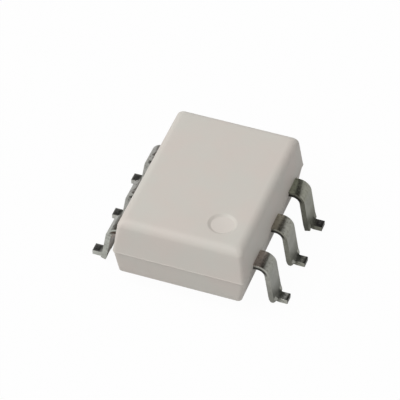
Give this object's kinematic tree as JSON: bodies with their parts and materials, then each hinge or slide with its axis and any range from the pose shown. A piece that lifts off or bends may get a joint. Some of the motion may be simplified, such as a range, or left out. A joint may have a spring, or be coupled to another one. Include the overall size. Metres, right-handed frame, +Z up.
{
  "type": "optocoupler",
  "caption": "White moulded six-pin optocoupler package with gull-wing leads bent out to solder feet, an index dimple, and the coplanar chips, wires and clear light guide inside.",
  "frame": {"origin": "centre of the footprint, on the plane that the solder feet stand on", "axes": "+X across the body towards pins 1 to 3, +Y along the body away from pin 1, +Z up from the board"},
  "size_m": [0.0096, 0.0086, 0.004],
  "materials": {
    "white_epoxy": "fine matt moulding",
    "clear_silicone": "clear",
    "tinned_copper": "dull tin plate",
    "silver_glue": "matt, silver filled",
    "emitter_crystal": "polished semiconductor",
    "detector_silicon": "polished silicon",
    "gold_wire": "drawn gold"
  },
  "bodies": {
    "root": {"moulded_body": "white_epoxy", "light_guide": "clear_silicone", "lead_1_anode": "tinned_copper", "lead_2_cathode": "tinned_copper", "lead_3_spare": "tinned_copper", "lead_4_emitter": "tinned_copper", "lead_5_collector": "tinned_copper", "lead_6_base": "tinned_copper", "emitter_glue": "silver_glue", "emitter_chip": "emitter_crystal", "emitter_wire": "gold_wire", "detector_glue": "silver_glue", "detector_chip": "detector_silicon", "detector_base_wire": "gold_wire", "detector_emitter_wire": "gold_wire"}
  },
  "joints": []
}
